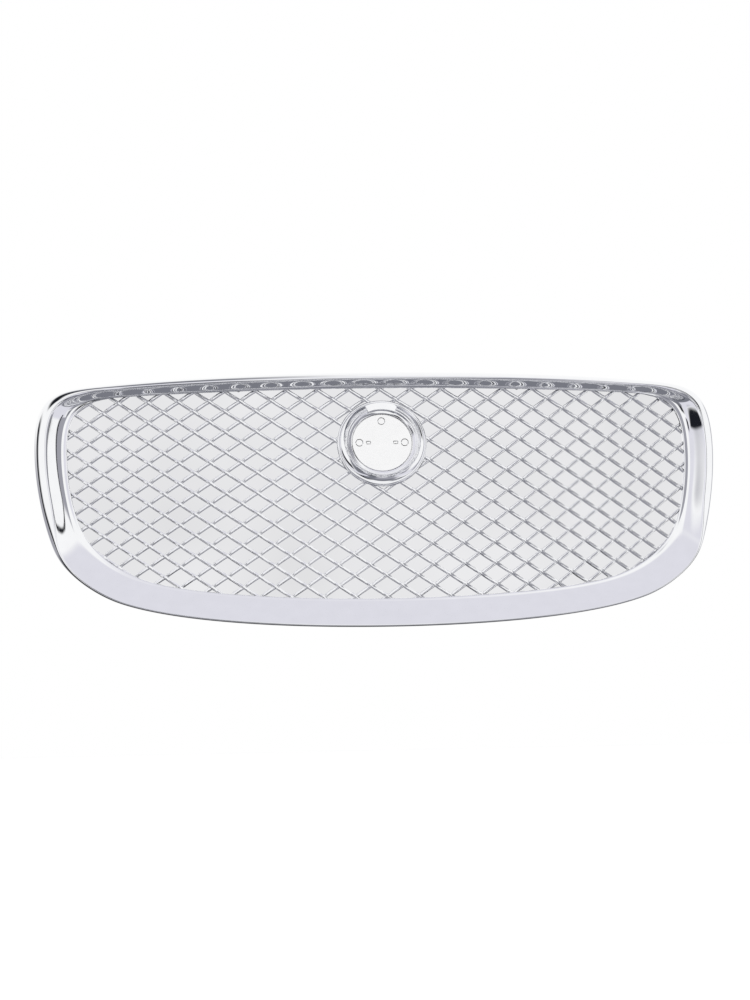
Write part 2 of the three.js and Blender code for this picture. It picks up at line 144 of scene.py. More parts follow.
class GrilleFinish(bpy.types.PropertyGroup):
    """Colours and gloss of the finishes."""
    chrome: bpy.props.FloatVectorProperty(
        name="Chrome", description="Tint of the bright plating", subtype="COLOR",
        default=(0.93, 0.935, 0.95), min=0, max=1)
    seat: bpy.props.FloatVectorProperty(
        name="Seat", description="Tint of the emblem seat's satin plating", subtype="COLOR",
        default=(0.95, 0.95, 0.955), min=0, max=1)
    plastic: bpy.props.FloatVectorProperty(
        name="Black plastic", description="Colour of the carrier's moulding", subtype="COLOR",
        default=(0.018, 0.018, 0.02), min=0, max=1)
    zinc: bpy.props.FloatVectorProperty(
        name="Zinc", description="Tint of the screws' plating", subtype="COLOR",
        default=(0.66, 0.67, 0.68), min=0, max=1)
    spring: bpy.props.FloatVectorProperty(
        name="Spring steel", description="Tint of the clips' phosphate coat", subtype="COLOR",
        default=(0.13, 0.13, 0.14), min=0, max=1)
    paper: bpy.props.FloatVectorProperty(
        name="Floor", description="Colour of the floor", subtype="COLOR",
        default=(0.9, 0.9, 0.905), min=0, max=1)
    # Painted shade: the grey of a glowing card that stands in for the shade seen through the mesh
    painted_shade_card: bpy.props.FloatVectorProperty(
        name="Backdrop", description="Tone of the card behind the mesh", subtype="COLOR",
        default=(0.8, 0.8, 0.815), min=0, max=1)


# ---------------------------------------------------------------- shapes

def smoothstep(value, low, high):
    t = min(max((value - low) / (high - low), 0), 1)
    return t * t * (3 - 2 * t)


def mix(a, b, share):
    return a + (b - a) * share


def surface_y(x, z):
    """The swept, leaning surface that the mesh lies on: y for a place in front view."""
    return MESH_SET_BACK + SWEEP * (x / HALF_WIDTH) ** 2 + z * math.tan(LEAN)


def swept_x(distance):
    """The x reached by a distance along the sweep, so that the lattice's pitch stays even."""
    bend = SWEEP / HALF_WIDTH ** 2
    return distance - (2 / 3) * bend ** 2 * distance ** 3


def surface_normal(x):
    """Unit normal of that surface, out of its front."""
    return Vector((2 * SWEEP * x / HALF_WIDTH ** 2, -1, math.tan(LEAN))).normalized()


def bezier(a, b, c, d, t):
    u = 1 - t
    return a * u ** 3 + b * 3 * u * u * t + c * 3 * u * t * t + d * t ** 3


def outline(points):
    """The whole closed outline, in metres, from the chain of curves of its right half."""
    at = [Vector(p) * MM for p in points]
    half = [bezier(*at[3 * i:3 * i + 4], k / steps)
            for i, steps in enumerate(CURVE_STEPS) for k in range(steps)] + [at[-1]]
    whole = half + [Vector((-p.x, p.y)) for p in half[-2:0:-1]]
    for _ in range(EASE_PASSES):
        whole = [(whole[i - 1] + 2 * p + whole[(i + 1) % len(whole)]) / 4
                 for i, p in enumerate(whole)]
    return whole


class Station:
    """One place round the frame: its outer point, the way in to the lip, and the width."""

    def __init__(self, outer, lip):
        self.outer = outer
        self.width = (lip - outer).length
        self.inward = (lip - outer) / self.width

    def at(self, inset):
        return self.outer + self.inward * inset

    def point(self, inset, forward):
        p = self.at(inset)
        return Vector((p.x, surface_y(p.x, p.y) - forward, p.y))


STATIONS = [Station(outer, lip) for outer, lip in zip(outline(OUTER), outline(LIP))]


def spline(points, steps):
    """Closed cubic B-spline round a polygon, with that many steps to each corner."""
    line = []
    for i in range(len(points)):
        a, b, c, d = (points[(i + k) % len(points)] for k in range(-1, 3))
        for k in range(steps):
            t = k / steps
            line.append((a * (1 - t) ** 3 + b * (3 * t ** 3 - 6 * t * t + 4)
                         + c * (-3 * t ** 3 + 3 * t * t + 3 * t + 1) + d * t ** 3) / 6)
    return line


def offset_line(line, distance):
    """An open polyline shifted sideways, to its right."""
    shifted = []
    for i, p in enumerate(line):
        before = (p - line[max(i - 1, 0)]).normalized()
        after = (line[min(i + 1, len(line) - 1)] - p).normalized()
        along = (before + after).normalized()
        stretch = 1 / max((before if i else after).dot(along), 0.5)
        shifted.append(p + Vector((along.y, -along.x)) * distance * stretch)
    return shifted


def ring_faces(rings, size, closed=True):
    """Quads between successive rings of points, and from the last ring to the first if closed."""
    faces = []
    for i in range(rings if closed else rings - 1):
        here, there = i * size, (i + 1) % rings * size
        for j in range(size):
            k = (j + 1) % size
            faces.append((here + j, here + k, there + k, there + j))
    return faces


def loft(section):
    """Closed ring through a section at every station."""
    rings = [[station.point(p[0], p[1]) for p in section(station)] for station in STATIONS]
    return [p for ring in rings for p in ring], ring_faces(len(rings), len(rings[0]))


def revolve(profile, sides):
    """Body of revolution about z from (radius, height) points: it ends on the axis at both ends, or
    closes on itself."""
    capped = profile[0][0] < 1e-9
    body = profile[1:-1] if capped else profile
    verts, faces = [], []
    for i in range(sides):
        turn = 2 * math.pi * i / sides
        verts += [Vector((r * math.cos(turn), r * math.sin(turn), h)) for r, h in body]
    n = len(body)
    for i in range(sides):
        here, there = i * n, (i + 1) % sides * n
        faces += [(here + j, here + j + 1, there + j + 1, there + j) for j in range(n - 1)]
        if not capped:
            faces.append((here + n - 1, here, there, there + n - 1))
    if capped:
        verts += [Vector((0, 0, profile[0][1])), Vector((0, 0, profile[-1][1]))]
        foot, tip = len(verts) - 2, len(verts) - 1
        for i in range(sides):
            here, there = i * n, (i + 1) % sides * n
            faces.append((foot, here, there))
            faces.append((tip, there + n - 1, here + n - 1))
    return verts, faces


def prism(line, low, high):
    """Upright prism over an outline of x and y points."""
    n = len(line)
    verts = [Vector((p[0], p[1], h)) for h in (low, high) for p in line]
    sides = [(i, (i + 1) % n, n + (i + 1) % n, n + i) for i in range(n)]
    return verts, [tuple(reversed(range(n))), tuple(range(n, 2 * n)), *sides]


def circle(radius, sides, x=0.0, y=0.0):
    return [(x + radius * math.cos(2 * math.pi * i / sides), y + radius * math.sin(2 * math.pi * i / sides))
            for i in range(sides)]


def together(shapes):
    """Several (vertices, faces) shapes as one."""
    verts, faces = [], []
    for more, quads in shapes:
        start = len(verts)
        verts += more
        faces += [tuple(start + i for i in quad) for quad in quads]
    return verts, faces


def moved(shape, matrix):
    return [matrix @ p for p in shape[0]], shape[1]


def polar(offset, degrees):
    turn = math.radians(degrees)
    return Vector((offset * math.cos(turn), offset * math.sin(turn), 0))


# ---------------------------------------------------------------- objects

def mesh_object(name, shape):
    """Mesh object with its faces pointing out."""
    mesh = bpy.data.meshes.new(name)
    mesh.from_pydata(shape[0], [], shape[1])
    work = bmesh.new()
    work.from_mesh(mesh)
    bmesh.ops.recalc_face_normals(work, faces=work.faces)
    work.to_mesh(mesh)
    work.free()
    piece = bpy.data.objects.new(name, mesh)
    bpy.context.scene.collection.objects.link(piece)
    return piece


def settle(piece):
    """Replaces a piece's mesh by what its modifiers make of it."""
    held = bpy.context.evaluated_depsgraph_get()
    piece.data = bpy.data.meshes.new_from_object(piece.evaluated_get(held))
    piece.modifiers.clear()


def combine(piece, shape, operation):
    """Cuts a shape out of a piece, or joins it on."""
    other = mesh_object("tool", shape)
    step = piece.modifiers.new("combine", "BOOLEAN")
    step.operation, step.solver, step.object = operation, "EXACT", other
    step.use_self = operation == "UNION"
    settle(piece)
    bpy.data.objects.remove(other)


def bevel(piece, width, segments=2, angle=40):
    step = piece.modifiers.new("bevel", "BEVEL")
    step.width, step.segments, step.limit_method = width, segments, "ANGLE"
    step.angle_limit = math.radians(angle)
    step.use_clamp_overlap = True
    settle(piece)


def finish_piece(piece, material, nodes, angle=35, flats=False):
    """Smooths a piece up to its sharp edges, gives it its finish and ties it to the frame. Flats keeps
    the shading of broad flat faces even."""
    piece.data.shade_smooth()
    piece.data.set_sharp_from_angle(angle=math.radians(angle))
    if flats:
        modifier = piece.modifiers.new("flats", "WEIGHTED_NORMAL")
        modifier.keep_sharp = True
        settle(piece)
    piece.data.materials.clear()
    piece.data.materials.append(material)
    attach(piece, "root")
    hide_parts(*nodes)


# ---------------------------------------------------------------- finishes

class Finish:
    """A Principled material with its pattern nodes."""

    def __init__(self, name):
        self.material = bpy.data.materials.new(name)
        self.material.use_nodes = True
        self.tree = self.material.node_tree
        self.shader = self.tree.nodes["Principled BSDF"]
        self.place = self.tree.nodes.new("ShaderNodeTexCoord").outputs["Object"]

    def link(self, source, target):
        self.tree.links.new(source, target)

    def noise(self, scale, detail=2.0, stretch=(1, 1, 1)):
        """Soft noise with that many features to a metre, stretched along the axes."""
        spread = self.tree.nodes.new("ShaderNodeMapping")
        spread.inputs["Scale"].default_value = stretch
        self.link(self.place, spread.inputs["Vector"])
        node = self.tree.nodes.new("ShaderNodeTexNoise")
        node.inputs["Scale"].default_value = scale
        node.inputs["Detail"].default_value = detail
        self.link(spread.outputs["Vector"], node.inputs["Vector"])
        return node.outputs["Fac"]

    def cells(self, scale):
        """Rounded pebbles, that many to a metre."""
        node = self.tree.nodes.new("ShaderNodeTexVoronoi")
        node.inputs["Scale"].default_value = scale
        self.link(self.place, node.inputs["Vector"])
        return node.outputs["Distance"]

    def ramp(self, source, low, high):
        """A number that runs from low to high as the pattern does."""
        node = self.tree.nodes.new("ShaderNodeMapRange")
        node.inputs["From Min"].default_value = 0.3
        node.inputs["From Max"].default_value = 0.7
        node.inputs["To Min"].default_value = low
        node.inputs["To Max"].default_value = high
        self.link(source, node.inputs["Value"])
        return node.outputs["Result"]

    def tint(self, source, dark, light, socket="Base Color"):
        """A colour that runs from dark to light as the pattern does."""
        node = self.tree.nodes.new("ShaderNodeMix")
        node.data_type = "RGBA"
        node.inputs["A"].default_value = (*dark, 1)
        node.inputs["B"].default_value = (*light, 1)
        self.link(self.ramp(source, 0, 1), node.inputs["Factor"])
        self.link(node.outputs["Result"], self.shader.inputs[socket])

    def bump(self, source, height, below=None):
        """Relief of that height in metres, over an earlier relief."""
        node = self.tree.nodes.new("ShaderNodeBump")
        node.inputs["Distance"].default_value = height
        self.link(source, node.inputs["Height"])
        if below:
            self.link(below, node.inputs["Normal"])
        self.link(node.outputs["Normal"], self.shader.inputs["Normal"])
        return node.outputs["Normal"]


def shaded(colour, share):
    return tuple(min(c * share, 1) for c in colour)


def plated(name, colour, gloss, waviness):
    """Bright plating over moulded plastic: faint sink waves, a haze of polish marks and clean patches."""
    finish = Finish(name)
    finish.shader.inputs["Metallic"].default_value = 1
    finish.tint(finish.noise(55, 4), shaded(colour, 0.97), colour)
    finish.link(finish.ramp(finish.noise(260, 5, (1, 0.2, 1)), gloss, gloss + 0.035),
                finish.shader.inputs["Roughness"])
    waves = finish.bump(finish.noise(34, 1), waviness)
    finish.bump(finish.noise(1800, 3), 0.4e-6, waves)
    return finish.material


def satin_plate(name, colour):
    """Satin silver plating, with the fine swirl that a mould leaves."""
    finish = Finish(name)
    finish.shader.inputs["Metallic"].default_value = 1
    finish.tint(finish.noise(70, 4), shaded(colour, 0.975), colour)
    finish.link(finish.ramp(finish.noise(500, 4), 0.17, 0.26), finish.shader.inputs["Roughness"])
    finish.bump(finish.noise(2400, 2), 1.2e-6)
    return finish.material


def grained_plastic(name, colour):
    """Glass-filled black plastic with a spark-eroded grain and paler flow marks."""
    finish = Finish(name)
    finish.tint(finish.noise(38, 6, (1, 1, 2.5)), colour, shaded(colour, 1.9))
    finish.link(finish.ramp(finish.noise(420, 3), 0.46, 0.62), finish.shader.inputs["Roughness"])
    pebbles = finish.bump(finish.cells(1500), 0.03 * MM)
    finish.bump(finish.noise(4000, 2), 0.008 * MM, pebbles)
    return finish.material


def zinc_plate(name, colour):
    """Bright zinc with a faint passivation bloom."""
    finish = Finish(name)
    finish.shader.inputs["Metallic"].default_value = 1
    finish.tint(finish.noise(300, 3), shaded(colour, 0.8), colour)
    finish.link(finish.ramp(finish.noise(900, 3), 0.24, 0.42), finish.shader.inputs["Roughness"])
    finish.bump(finish.noise(3000, 2), 0.006 * MM)
    return finish.material


def phosphated_steel(name, colour):
    """Dark phosphated spring steel, oiled, with rolled streaks."""
    finish = Finish(name)
    finish.shader.inputs["Metallic"].default_value = 1
    finish.tint(finish.noise(420, 5, (0.25, 1, 1)), shaded(colour, 0.6), shaded(colour, 1.5))
    finish.link(finish.ramp(finish.noise(700, 3), 0.3, 0.5), finish.shader.inputs["Roughness"])
    finish.bump(finish.noise(2600, 3), 0.01 * MM)
    return finish.material


def paper(name, colour):
    """Matt studio paper."""
    finish = Finish(name)
    finish.tint(finish.noise(9, 3), shaded(colour, 0.985), colour)
    finish.shader.inputs["Roughness"].default_value = 0.9
    finish.shader.inputs["Specular IOR Level"].default_value = 0.1
    return finish.material


def glowing_shade_card(name, colour):
    """A card that glows in its own grey, a little cloudy: painted shade, not a lamp."""
    finish = Finish(name)
    finish.tint(finish.noise(2.2, 2), shaded(colour, 0.94), shaded(colour, 1.04), "Emission Color")
    finish.shader.inputs["Base Color"].default_value = (0, 0, 0, 1)
    finish.shader.inputs["Specular IOR Level"].default_value = 0
    finish.shader.inputs["Emission Strength"].default_value = 1
    return finish.material


# ---------------------------------------------------------------- surround

def surround_section(station, sizes):
    """Closed section of the surround: a flared skirt, a rounded crest, a dished slope and the lip.
    The crest lies over a third of the way in, close to the edge below, and sinks a little at the ends."""
    x, z = abs(station.outer.x) / MM, station.outer.y / MM
    end = smoothstep(x, 330, 415)
    top = smoothstep(z, 50, 76)
    bottom = smoothstep(-z, 70, 165)
    crest = station.width * mix(0.36, 0.11, bottom)
    slope = station.width - 3.5 * MM - crest
    shoulder = crest + slope * (0.1 + 0.2 * top)
    rest = station.width - 3.5 * MM - shoulder
    height = sizes.crest * (1 - 0.2 * end * (1 - bottom))
    face = [Vector(p) for p in (
        (0.3 * MM, -11.5 * MM),
        (0.3 * MM, -3 * MM),
        (0.06 * crest + 0.5 * MM, 0.22 * height),
        (0.2 * crest + 0.7 * MM, 0.54 * height),
        (0.5 * crest + 0.6 * MM, 0.82 * height),
        (0.82 * crest + 0.3 * MM, 0.98 * height),
        (crest + 0.4 * MM, 1.025 * height),
        (shoulder, 0.95 * height),
        (shoulder + 0.27 * rest, 0.73 * height),
        (shoulder + 0.58 * rest, 0.47 * height),
        (shoulder + 0.86 * rest, 0.28 * height),
        (station.width - 2.4 * MM, 6.9 * MM),
        (station.width - 0.2 * MM, 6.1 * MM),
    )]
    return spline(face + offset_line(face, sizes.wall)[::-1], 4)


def build_surround(sizes, finish):
    piece = mesh_object("surround_shell", loft(lambda station: surround_section(station, sizes)))
    finish_piece(piece, plated("surround_chrome", finish.chrome, 0.02, 1.5e-6),
                 ["surround"], 60)


# ---------------------------------------------------------------- mesh

def inside(point, loop):
    """True if a front-view point lies inside a closed outline."""
    odd = False
    for a, b in zip(loop, loop[1:] + loop[:1]):
        if (a.y > point.y) != (b.y > point.y):
            if point.x < a.x + (b.x - a.x) * (point.y - a.y) / (b.y - a.y):
                odd = not odd
    return odd


def strand_runs(line, family, field):
    """Stretches of one lattice line that show: inside the rim and clear of the emblem pad. Each is a
    list of (steps from a crossing, distance along the sweep, height)."""
    runs, run = [], []
    for step in range(-LATTICE_REACH * STRAND_STEPS, LATTICE_REACH * STRAND_STEPS + 1):
        t = step / STRAND_STEPS
        row = t - line if family == "falling" else line - t
        along, z = t * PITCH_X / 2, TOP_NODE_Z - row * PITCH_Z / 2
        x = swept_x(along)
        shown = abs(x) < HALF_WIDTH and inside(Vector((x, z)), field)
        if shown and math.hypot(x, z / math.cos(LEAN)) > PAD_RADIUS - 2 * MM:
            run.append((t, along, z))
        elif run:
            runs.append(run)
            run = []
    return runs


def strand(run, family, sizes):
    """One woven strand: a flat back, upright edges and a flattened crown. Falling strands rise over
    the rising ones where they cross."""
    arc = [math.pi * k / 8 for k in range(9)]
    half, edge = sizes.bar / 2, 0.35 * sizes.crown
    across, up = CROWN_SQUARENESS
    section = [(half * math.copysign(abs(math.cos(a)) ** across, math.cos(a)),
                edge + (sizes.crown - edge) * math.sin(a) ** up) for a in arc]
    section += [(-half, 0), (half, 0)]
    lift = sizes.weave if family == "falling" else -sizes.weave
    verts = []
    for i, (t, along, z) in enumerate(run):
        before, after = run[max(i - 1, 0)], run[min(i + 1, len(run) - 1)]
        x = swept_x(along)
        x_before, x_after = swept_x(before[1]), swept_x(after[1])
        tangent = Vector((
            x_after - x_before,
            surface_y(x_after, after[2]) - surface_y(x_before, before[2]),
            after[2] - before[2],
        )).normalized()
        normal = surface_normal(x)
        side = normal.cross(tangent).normalized()
        near = math.cos(math.pi * (t - round(t)))
        base = Vector((x, surface_y(x, z), z)) + normal * (MESH_BACK + lift * near ** WEAVE_SHARPNESS)
        verts += [base + side * a + normal * b for a, b in section]
    n = len(section)
    faces = ring_faces(len(run), n, closed=False)
    faces += [tuple(range(n)), tuple(range(len(verts) - n, len(verts)))]
    return verts, faces


def build_mesh(sizes, finish):
    rim_edge = [station.at(station.width - 5 * MM) for station in STATIONS[::4]]
    strands = []
    for family in ("falling", "rising"):
        for line in LATTICE_LINES:
            for run in strand_runs(line, family, rim_edge):
                if len(run) > 3:
                    strands.append(strand(run, family, sizes))
    front = sizes.crown + MESH_BACK
    rim = loft(lambda s: [Vector(p) for p in (
        (s.width - RIM_OVERLAP, MESH_BACK), (s.width - RIM_OVERLAP, front),
        (s.width - 1.4 * MM, front), (s.width - 0.6 * MM, front - 0.8 * MM),
        (s.width - 0.6 * MM, MESH_BACK))])
    piece = mesh_object("mesh_rim", rim)
    holes = together([
        moved(prism(circle(2.3 * MM, 16), -20 * MM, 20 * MM), screw_frame(node))
        for node in FRAME_SCREWS])
    combine(piece, holes, "DIFFERENCE")
    pad = mesh_object("mesh_pad", mesh_pad(front))
    posts = together([moved(prism(circle(5 * MM, 24), -30 * MM, 30 * MM),
                            EMBLEM @ Matrix.Translation(polar(SEAT_HOLE_OFFSET, turn)))
                      for turn in POSTS])
    combine(pad, posts, "DIFFERENCE")
    bars = mesh_object("woven_mesh", together(strands))
    join([bars, piece, pad])
    finish_piece(bars, plated("mesh_chrome", finish.chrome, 0.03, 0.4e-5),
                 ["mesh_insert"], 50)


def mesh_pad(front):
    """Solid disc of the mesh behind the emblem seat, following the sweep."""
    rings = [(0, front), (20 * MM, front), (40 * MM, front), (PAD_RADIUS - 0.6 * MM, front),
             (PAD_RADIUS, front - 0.6 * MM), (PAD_RADIUS, MESH_BACK), (40 * MM, MESH_BACK),
             (20 * MM, MESH_BACK), (0, MESH_BACK)]
    verts, faces = revolve(rings, 96)
    placed = []
    for p in verts:
        x, z = p.x, p.y * math.cos(LEAN)
        placed.append(Vector((x, surface_y(x, z) - p.z, z)))
    return placed, faces


def join(pieces):
    """Joins mesh objects into the first one."""
    shapes = []
    for piece in pieces:
        shapes.append(([v.co.copy() for v in piece.data.vertices],
                       [tuple(face.vertices) for face in piece.data.polygons]))
    verts, faces = together(shapes)
    mesh = bpy.data.meshes.new(pieces[0].name)
    mesh.from_pydata(verts, [], faces)
    pieces[0].data = mesh
    for piece in pieces[1:]:
        bpy.data.objects.remove(piece)


# ---------------------------------------------------------------- screws and clips

FRAME_SCREWS = [f"frame_screw_{i:02d}" for i in range(1, 11)]
HEAD_HEIGHT = 2.6 * MM
HEAD_RADIUS = 3.8 * MM
SHANK_RADIUS = 1.6 * MM


def screw_frame(node):
    """Frame of a frame screw: z out of its head, towards the rear, from the head's underside."""
    low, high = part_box(node)
    place = Vector(((low.x + high.x) / 2, high.y - HEAD_HEIGHT, (low.z + high.z) / 2))
    return Matrix.Translation(place) @ Matrix.Rotation(math.radians(-90), 4, "X")


def screw_mesh(name, length, sizes):
    """Pan-head screw along -z with its head above z = 0: domed head, cross recess, rolled thread."""
    r, h = HEAD_RADIUS, HEAD_HEIGHT
    head = [(0, h), (0.35 * r, h), (0.62 * r, 0.96 * h), (0.84 * r, 0.8 * h), (0.96 * r, 0.52 * h),
            (r, 0.22 * h), (0.97 * r, 0), (0.6 * r, 0), (0.6 * r, 0.1 * h), (0, 0.1 * h)]
    screw = mesh_object(name, revolve(head, 40))
    arms = [prism([(-a, -b), (a, -b), (a, b), (-a, b)], 0.35 * h, 2 * h)
            for a, b in ((0.56 * r, 0.13 * r), (0.13 * r, 0.56 * r))]
    for arm in arms:
        combine(screw, arm, "DIFFERENCE")
    thread = mesh_object("thread", thread_shape(length, sizes.thread_pitch))
    join([screw, thread])
    return screw


def thread_shape(length, pitch):
    """Threaded shank down to a blunt point, from just inside the head."""
    sides, rise = 16, pitch / 8
    top = 0.3 * MM
    levels = int((length + top) / rise)
    rings = []
    for level in range(levels + 1):
        depth = level * rise
        taper = min(1, 0.35 + (length - depth) / (2.5 * MM))
        ring = []
        for i in range(sides):
            turn = 2 * math.pi * i / sides
            phase = (depth / pitch + i / sides) % 1
            crest = max(0, 1 - abs(phase - 0.5) * 4)
            grip = 0 if depth < 1.5 * MM else crest
            radius = (0.78 + 0.22 * grip) * SHANK_RADIUS * taper
            ring.append(Vector((radius * math.cos(turn), radius * math.sin(turn), top - depth)))
        rings.append(ring)
    verts = [p for ring in rings for p in ring]
    faces = ring_faces(len(rings), sides, closed=False)
    return verts, faces + [tuple(range(sides)), tuple(range(len(verts) - sides, len(verts)))]


def place_screws(first, frames, material, nodes):
    """One screw for each node, all with the first one's mesh."""
    for node, place in zip(nodes, frames):
        piece = bpy.data.objects.new(node.replace("screw", "pan_head"), first.data)
        piece.matrix_world = place
        bpy.context.scene.collection.objects.link(piece)
        finish_piece(piece, material, [node])
    bpy.data.objects.remove(first)


def build_frame_screws(sizes, finish):
    low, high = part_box(FRAME_SCREWS[0])
    screw = screw_mesh("frame_screw_shape", high.y - low.y - HEAD_HEIGHT, sizes)
    place_screws(screw, [screw_frame(node) for node in FRAME_SCREWS],
                 zinc_plate("frame_screw_zinc", finish.zinc), FRAME_SCREWS)


CLIPS = [f"{row}_clip_{i}" for row in ("upper", "lower") for i in range(1, 5)]
CLIP_SHEET = 1.2 * MM
CLIP_GAP = 1.8 * MM         # from the tab's middle to the inside of the sheet
TAB_HOLE_FROM_END = 12 * MM


def clip_outline(length):
    """Side view of the folded strip: y along the tab from its end, z up; a round nose and two leaves,
    the lower one flared for pushing on."""
    outer = CLIP_GAP + CLIP_SHEET
    nose = [(outer * 0.9 * math.cos(a), outer * math.sin(a)) for a in
            (math.radians(d) for d in range(-90, 91, 15))]
    hollow = [(CLIP_GAP * 0.5 * math.cos(a), CLIP_GAP * math.sin(a)) for a in
              (math.radians(d) for d in range(90, -91, -15))]
    nose = [(y - 1.2 * MM, z) for y, z in nose]
    hollow = [(y - 0.6 * MM, z) for y, z in hollow]
    lip = 1.5 * MM
    return ([(-length, -outer)] + nose + [(-length, outer), (-length, CLIP_GAP)] + hollow
            + [(-length, -CLIP_GAP), (-length - lip, -CLIP_GAP - lip), (-length - lip, -outer - lip)])


def build_clips(finish):
    material = phosphated_steel("clip_steel", finish.spring)
    for node in CLIPS:
        low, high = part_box(node)
        up = 1 if node.startswith("upper") else -1
        face = high.z if up > 0 else low.z
        place = Vector(((low.x + high.x) / 2, high.y, face - up * (CLIP_GAP + CLIP_SHEET)))
        sideways = Matrix(((0, 0, 1, 0), (1, 0, 0, 0), (0, up, 0, 0), (0, 0, 0, 1)))
        upright = Matrix.Translation(place) @ sideways
        half = (high.x - low.x) / 2
        strip = moved(prism(clip_outline(22 * MM), -half, half), upright)
        piece = mesh_object(node.replace("clip", "spring_clip"), strip)
        bevel(piece, 0.25 * MM)
        across = Matrix.Translation(place - Vector((0, TAB_HOLE_FROM_END + 1.5 * MM, 0)))
        turned = Matrix.Diagonal((1, 1, -up, 1))
        collar = [(2.4 * MM, 2.2 * MM), (4.5 * MM, 2.2 * MM), (4.1 * MM, 5.6 * MM), (3.5 * MM, 6 * MM),
                  (2.4 * MM, 6 * MM)]
        combine(piece, moved(revolve(collar, 32), across @ turned), "UNION")
        bore = prism(circle(2.35 * MM, 32), -9 * MM, 9 * MM)
        combine(piece, moved(bore, across), "DIFFERENCE")
        finish_piece(piece, material, [node])


# ---------------------------------------------------------------- emblem seat

def rounded(profile, steps):
    """Closed profile of (radius, height) points in millimetres, eased by a spline."""
    return [tuple(p) for p in spline([Vector(p) * MM for p in profile], steps)]


def sector(low_angle, high_angle, inner, outer, bottom, top, steps=24):
    """Block between two radii and two angles."""
    turns = [math.radians(mix(low_angle, high_angle, i / steps)) for i in range(steps + 1)]
    line = [(inner * math.cos(a), inner * math.sin(a)) for a in turns]
    line += [(outer * math.cos(a), outer * math.sin(a)) for a in reversed(turns)]
    return prism(line, bottom, top)


def build_bezel(finish):
    """Bevelled ring: outer bead, dished band up to a thin rim, stepped inner wall, and a locating key
    across the top."""
    profile = [
        (37.2, -1.2), (37.2, -1.2), (37.2, 0.6), (37.6, 1.2), (39.6, 1.9), (40.7, 2.1), (40.9, 2.3),
        (41.3, 5.4), (41.5, 5.7), (43.0, 5.9), (43.2, 6.1), (43.6, 7.5), (44.1, 7.9), (44.7, 7.6),
        (45.4, 5.9), (47.1, 3.4), (49.6, 1.5), (51.3, 0.7), (51.6, 0.7), (52.0, 1.2), (53.2, 1.5),
        (54.6, 0.6), (55.4, -1.6), (55.4, -3.9), (55.4, -3.9), (51.2, -3.9), (51.2, -3.9),
        (51.0, -1.3), (50.6, -1.2),
    ]
    piece = mesh_object("bezel_ring", moved(revolve(rounded(profile, 3), 160), EMBLEM))
    key = mesh_object("key", moved(sector(66, 114, 40.2 * MM, 49.4 * MM, 1 * MM, 8.1 * MM), EMBLEM))
    bevel(key, 0.45 * MM, 3)
    join([piece, key])
    finish_piece(piece, plated("bezel_chrome", finish.chrome, 0.02, 0.6e-5),
                 ["emblem_bezel"], 50)


def seat_marks(radius, half_width, half_height, bottom, top):
    """The seat's three round marks and two small rectangles, as upright blocks of a given size."""
    a, b = half_width, half_height
    outlines = [circle(radius, 48, *polar(SEAT_HOLE_OFFSET, turn).xy) for turn in SEAT_HOLES]
    outlines += [[(x - a, -b), (x + a, -b), (x + a, b), (x - a, b)] for x in (-SLOT_OFFSET, SLOT_OFFSET)]
    return moved(together([prism(outline, bottom, top) for outline in outlines]), EMBLEM)


def build_emblem_base(finish):
    """Round seat floor, cut through round three small discs and two rectangles, with three screw posts
    behind."""
    dish = [(0, -3.8), (49.6, -3.8), (50, -3.4), (50, -2.0), (49.6, -1.6), (36.8, -1.6), (36.5, -1.3),
            (36.5, -0.4), (36.1, 0), (0, 0)]
    piece = mesh_object("seat_dish", moved(revolve([(r * MM, h * MM) for r, h in dish], 128), EMBLEM))
    combine(piece, seat_marks(4.8 * MM, 3 * MM, 2.1 * MM, -10 * MM, 10 * MM), "DIFFERENCE")
    pads = mesh_object("pads", seat_marks(3.9 * MM, 2.2 * MM, 1.3 * MM, -3.7 * MM, -0.2 * MM))
    join([piece, pads])
    tubes = [moved(revolve([(2 * MM, -9.6 * MM), (4.1 * MM, -9.6 * MM), (4.4 * MM, -9.3 * MM),
                            (4.4 * MM, -3.4 * MM), (2 * MM, -3.4 * MM)], 32),
                   EMBLEM @ Matrix.Translation(polar(SEAT_HOLE_OFFSET, turn))) for turn in POSTS]
    posts = mesh_object("posts", together(tubes))
    join([piece, posts])
    finish_piece(piece, satin_plate("seat_bright", finish.seat), ["emblem_base"],
                 flats=True)


def build_clamp(sizes, finish):
    """Flat clamp ring behind the mesh, and its three screws."""
    ring = [(12, -13), (43.6, -13), (44, -12.6), (44, -10.4), (43.6, -10), (12, -10)]
    piece = mesh_object("clamp_ring", moved(revolve([(r * MM, h * MM) for r, h in ring], 96), EMBLEM))
    holes = together([moved(prism(circle(2.3 * MM, 24), -20 * MM, 0),
                            Matrix.Translation(polar(SEAT_HOLE_OFFSET, turn))) for turn in POSTS])
    combine(piece, moved(holes, EMBLEM), "DIFFERENCE")
    finish_piece(piece, grained_plastic("clamp_plastic", finish.plastic),
                 ["emblem_clamp_plate"])
    nodes = [f"emblem_screw_{i}" for i in range(1, 4)]
    turned = Matrix.Rotation(math.pi, 4, "X")
    back = Vector((0, 0, CLAMP_BACK - TOUCH))
    frames = [EMBLEM @ Matrix.Translation(polar(SEAT_HOLE_OFFSET, turn) + back) @ turned
              for turn in POSTS]
    screw = screw_mesh("emblem_screw_shape", 8.5 * MM, sizes)
    place_screws(screw, frames, zinc_plate("emblem_screw_zinc", finish.zinc), nodes)


# ---------------------------------------------------------------- carrier

def build_carrier(finish):
    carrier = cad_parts["rear_carrier"]
    carrier.data.materials.clear()
    carrier.data.materials.append(grained_plastic("carrier_plastic", finish.plastic))


# ---------------------------------------------------------------- stage

